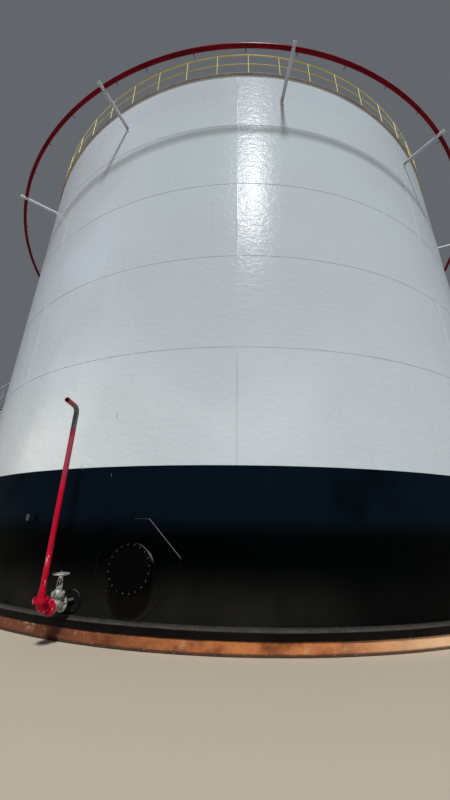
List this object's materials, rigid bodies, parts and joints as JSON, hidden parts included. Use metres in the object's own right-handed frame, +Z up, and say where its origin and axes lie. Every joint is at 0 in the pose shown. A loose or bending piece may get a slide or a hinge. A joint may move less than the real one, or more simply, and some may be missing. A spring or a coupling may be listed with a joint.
{
  "type": "vertical storage tank",
  "caption": "Upright cylindrical steel storage tank on a ring foundation, with roof rail, spray ring on arms, helical stair, bolted manhole and a gate valve with a riser.",
  "frame": {"origin": "centre of the foundation's underside", "axes": "+Z up along the tank's axis, -Y is the front, +X to the right seen from the front"},
  "size_m": [21.5366, 21.5366, 16.135],
  "materials": {
    "ring_wall_concrete": "rust-stained rough concrete",
    "kerb_coating": "matt black coated concrete",
    "black_paint": "gloss black paint",
    "white_paint": "gloss white paint",
    "angle_paint": "weathered light paint",
    "yellow_paint": "satin yellow paint",
    "ring_red_paint": "satin dark red paint",
    "riser_red_paint": "gloss bright red paint",
    "galvanised": "dull galvanised zinc",
    "valve_iron": "grey painted cast iron",
    "stem_steel": "bare threaded steel"
  },
  "bodies": {
    "tank": {"ring_wall": "ring_wall_concrete", "kerb": "kerb_coating", "bottom_plate": "black_paint", "black_course_1": "black_paint", "shell_1": "white_paint", "black_course_2": "black_paint", "shell_2": "white_paint", "black_course_3": "black_paint", "shell_3": "white_paint", "black_course_4": "black_paint", "shell_4": "white_paint", "black_course_5": "black_paint", "shell_5": "white_paint", "top_angle": "angle_paint", "roof": "white_paint", "roof_vent": "white_paint", "roof_rail_1": "yellow_paint", "roof_rail_2": "yellow_paint", "roof_rail_3": "yellow_paint", "roof_rail_4": "yellow_paint", "spray_ring_1": "ring_red_paint", "spray_ring_2": "ring_red_paint", "spray_ring_3": "ring_red_paint", "spray_ring_4": "ring_red_paint", "ring_arm_1": "galvanised", "ring_arm_2": "galvanised", "ring_arm_3": "galvanised", "ring_arm_4": "galvanised", "ring_arm_5": "galvanised", "ring_arm_6": "galvanised", "ring_arm_7": "galvanised", "ring_arm_8": "galvanised", "ring_arm_9": "galvanised", "ring_arm_10": "galvanised", "ring_arm_11": "galvanised", "ring_arm_12": "galvanised", "manway_pad": "black_paint", "manway_neck": "black_paint", "manway_cover": "black_paint", "outlet_pad": "black_paint", "outlet_nozzle": "black_paint", "valve_body": "valve_iron", "valve_bonnet": "valve_iron", "riser_elbow": "riser_red_paint", "riser": "riser_red_paint", "riser_bend": "galvanised", "run_stub": "riser_red_paint", "stair_flight_1": "galvanised", "stair_rail_1": "galvanised", "stair_flight_2": "galvanised", "stair_rail_2": "galvanised", "stair_flight_3": "galvanised", "stair_rail_3": "galvanised", "stair_landing": "galvanised", "landing_rail": "galvanised"},
    "handwheel": {"valve_handwheel": "valve_iron"},
    "stem": {"valve_stem": "stem_steel"}
  },
  "joints": [
    {"name": "handwheel_turn", "type": "hinge", "parent": "tank", "child": "handwheel", "pos_m": [-2.89325, -9.4634, 1], "axis": [0, 0, 1], "range_deg": [0, 7920]},
    {"name": "stem_rise", "type": "slide", "parent": "tank", "child": "stem", "axis": [0, 0, 1], "range_m": [0, 0.1399]}
  ],
  "couplings": [
    {"joint": "stem_rise", "follows": "handwheel_turn", "m_per_rad": 0.0010106}
  ]
}
